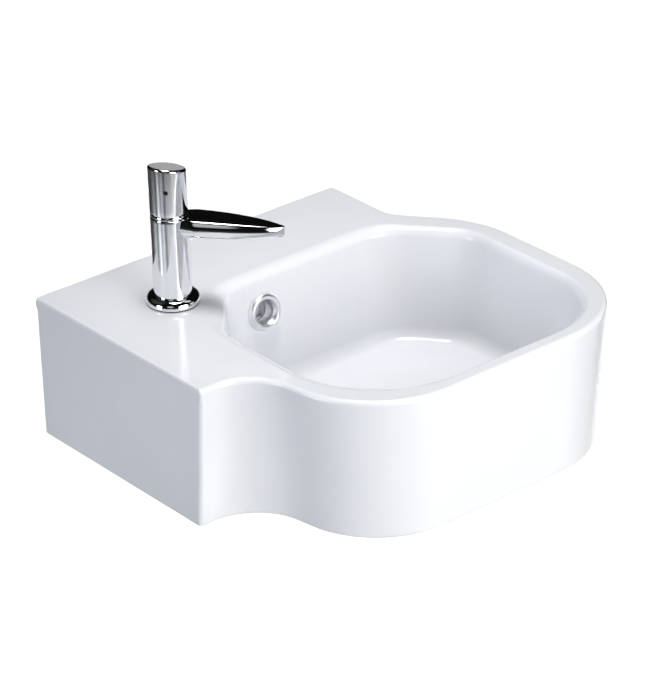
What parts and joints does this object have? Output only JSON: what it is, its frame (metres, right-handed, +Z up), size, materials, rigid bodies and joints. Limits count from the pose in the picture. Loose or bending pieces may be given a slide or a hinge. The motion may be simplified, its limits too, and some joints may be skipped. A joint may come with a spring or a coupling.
{
  "type": "corner wall-hung basin",
  "caption": "Small corner wall-hung hand basin in white glazed china with an offset rounded bowl, a chrome pillar tap on its deck, an overflow and a push plug waste.",
  "frame": {"origin": "midway between the two wall bolt holes, on the back face of the basin", "axes": "+Z up, +X along the back wall to the right seen from the front, +Y into the back wall, so the bowl's front faces -Y and the left wall face faces -X"},
  "size_m": [0.4196, 0.398, 0.3398],
  "materials": {
    "china": "white gloss glaze, unglazed foot",
    "chrome": "polished chrome plate",
    "brass": "machined brass",
    "rubber": "matt black rubber",
    "nylon": "natural moulded nylon",
    "stainless": "bright stainless steel",
    "disc_ceramic": "lapped alumina"
  },
  "bodies": {
    "basin": {"basin_body": "china", "overflow_ring": "chrome", "tap_base_seal": "rubber", "tap_base_ring": "chrome", "tap_body": "chrome", "tap_spout": "chrome", "aerator_housing": "chrome", "aerator_insert": "nylon", "aerator_seal": "rubber", "tap_tail": "brass", "tap_rubber_washer": "rubber", "tap_metal_washer": "stainless", "tap_back_nut": "brass", "cartridge_seal": "rubber", "cartridge_body": "brass", "ceramic_fixed_disc": "disc_ceramic", "cartridge_retaining_nut": "brass", "handle_collar": "chrome", "waste_body": "chrome", "waste_flange_seal": "rubber", "waste_under_seal": "rubber", "waste_washer": "nylon", "waste_back_nut": "brass", "plug_guide": "nylon", "plug_spring": "stainless"},
    "handle": {"spindle": "brass", "spindle_o_ring": "rubber", "ceramic_moving_disc": "disc_ceramic", "tap_handle": "chrome", "handle_grub_screw": "stainless"},
    "plug": {"plug_cap": "chrome", "plug_seal": "rubber", "plug_stem": "stainless", "stem_clip": "stainless"}
  },
  "joints": [
    {"name": "handle_turn", "type": "hinge", "parent": "basin", "child": "handle", "pos_m": [-0.0911, -0.0948, 0.157], "axis": [0, 0, 1], "range_deg": [0, 90]},
    {"name": "plug_press", "type": "slide", "parent": "basin", "child": "plug", "axis": [0, 0, -1], "range_m": [0, 0.008], "stiffness_N_per_m": 250, "springref_m": -0.016, "deforming": ["plug_spring"]}
  ]
}
